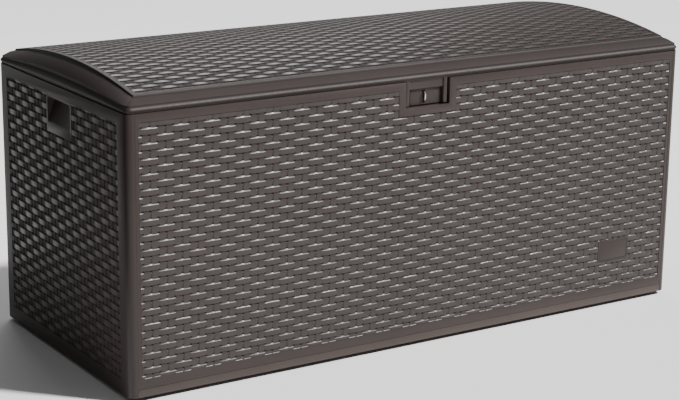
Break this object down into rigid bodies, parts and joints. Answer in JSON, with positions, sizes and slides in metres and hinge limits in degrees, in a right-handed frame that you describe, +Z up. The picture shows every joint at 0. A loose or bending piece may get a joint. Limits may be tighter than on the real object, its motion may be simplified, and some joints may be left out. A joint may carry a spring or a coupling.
{
  "type": "deck storage box",
  "caption": "Long outdoor storage chest of brown moulded resin with a woven-wicker texture, a domed hinged lid, end hand scoops and a front padlock hasp.",
  "frame": {"origin": "centre of the bounding box's underside, on the surface that the feet stand on", "axes": "+X along the length, to the right seen from the front; -Y is the front with the hasp, +Y the hinge side; +Z up"},
  "size_m": [1.5, 0.6704, 0.6867],
  "materials": {
    "resin": "espresso brown moulded resin with a moulded plain-weave relief, satin",
    "resin_inside": "dark brown moulded resin, matt, plain inside faces",
    "steel": "bright zinc-plated steel",
    "foot_rubber": "black rubber pad"
  },
  "bodies": {
    "box": {"floor_panel": "resin_inside", "front_panel": "resin", "back_panel": "resin", "left_end_panel": "resin", "right_end_panel": "resin", "foot_front_left": "foot_rubber", "foot_back_left": "foot_rubber", "foot_front_right": "foot_rubber", "foot_back_right": "foot_rubber", "lock_boss": "resin", "padlock_staple": "steel", "badge_plate": "resin", "boss_screw_left": "steel", "boss_screw_right": "steel", "hinge_left_body_leaf": "steel", "hinge_left_pin": "steel", "hinge_left_body_screw_left": "steel", "hinge_left_body_screw_right": "steel", "hinge_middle_body_leaf": "steel", "hinge_middle_pin": "steel", "hinge_middle_body_screw_left": "steel", "hinge_middle_body_screw_right": "steel", "hinge_right_body_leaf": "steel", "hinge_right_pin": "steel", "hinge_right_body_screw_left": "steel", "hinge_right_body_screw_right": "steel"},
    "lid": {"lid_shell": "resin", "lid_liner": "resin_inside", "lid_hasp": "resin", "hasp_screw_left": "steel", "hasp_screw_right": "steel", "hinge_left_lid_leaf": "steel", "hinge_left_lid_screw_left": "steel", "hinge_left_lid_screw_right": "steel", "hinge_middle_lid_leaf": "steel", "hinge_middle_lid_screw_left": "steel", "hinge_middle_lid_screw_right": "steel", "hinge_right_lid_leaf": "steel", "hinge_right_lid_screw_left": "steel", "hinge_right_lid_screw_right": "steel"}
  },
  "joints": [
    {"name": "lid_hinge", "type": "hinge", "parent": "box", "child": "lid", "pos_m": [0, 0.3302, 0.6245], "axis": [-1, 0, 0], "range_deg": [0, 100]}
  ]
}
